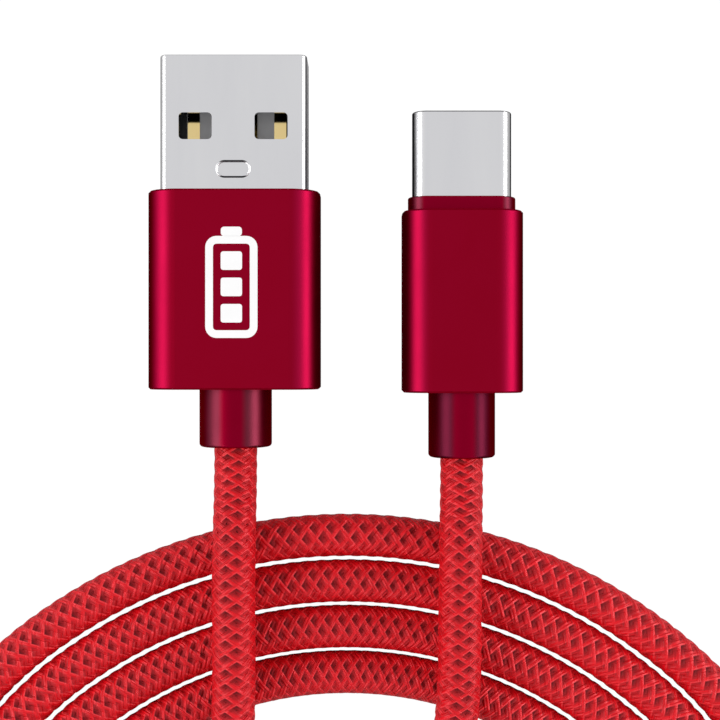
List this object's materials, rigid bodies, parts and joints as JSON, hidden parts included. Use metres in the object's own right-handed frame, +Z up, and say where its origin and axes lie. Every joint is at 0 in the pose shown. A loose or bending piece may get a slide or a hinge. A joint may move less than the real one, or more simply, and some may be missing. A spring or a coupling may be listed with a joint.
{
  "type": "charging cable",
  "caption": "Braided red charging cable: a flat type-A plug and a smaller oval type-C plug in metal sleeves, joined by a thin round cord that is wound in a flat coil.",
  "frame": {"origin": "on the floor, at the centre of the box round the two plugs", "axes": "+Y along the plugs towards their tips, +Z up, +X from the type-A plug to the type-C plug"},
  "size_m": [0.0769, 0.1025, 0.0076],
  "materials": {
    "shell_steel": "bright nickel-plated steel",
    "cover_steel": "plain tinned steel",
    "contact_gold": "gold-plated strip",
    "solder": "dull tin",
    "pale_insulator": "moulded, off-white",
    "dark_plastic": "moulded, black",
    "mould_plastic": "moulded, natural",
    "board_green": "lacquered board",
    "wire_red": "insulated wire",
    "wire_white": "insulated wire",
    "wire_green": "insulated wire",
    "wire_black": "insulated wire",
    "sleeve_red": "red anodised, satin",
    "collar_red": "moulded, satin deep red",
    "braid_red": "braided nylon over a round jacket"
  },
  "bodies": {
    "root": {"a_shell": "shell_steel", "a_insulator": "pale_insulator", "a_contact_vbus": "contact_gold", "a_contact_data_minus": "contact_gold", "a_contact_data_plus": "contact_gold", "a_contact_ground": "contact_gold", "a_solder_joints": "solder", "a_wire_red": "wire_red", "a_wire_white": "wire_white", "a_wire_green": "wire_green", "a_wire_black": "wire_black", "a_shield_cover": "cover_steel", "a_cable_end": "braid_red", "a_front_frame": "dark_plastic", "a_inner_mould": "mould_plastic", "a_sleeve": "sleeve_red", "a_collar": "collar_red", "c_shell": "shell_steel", "c_insulator": "dark_plastic", "c_contacts_upper": "contact_gold", "c_contacts_lower": "contact_gold", "c_latch": "cover_steel", "c_ground_springs": "cover_steel", "c_board": "board_green", "c_resistor": "dark_plastic", "c_solder_joints": "solder", "c_wire_red": "wire_red", "c_wire_white": "wire_white", "c_wire_green": "wire_green", "c_wire_black": "wire_black", "c_shield_cover": "cover_steel", "c_cable_end": "braid_red", "c_inner_mould": "collar_red", "c_sleeve": "sleeve_red", "c_collar": "collar_red", "cord_tail_a": "braid_red", "cord_tail_c": "braid_red", "cord_coil": "braid_red"}
  },
  "joints": []
}
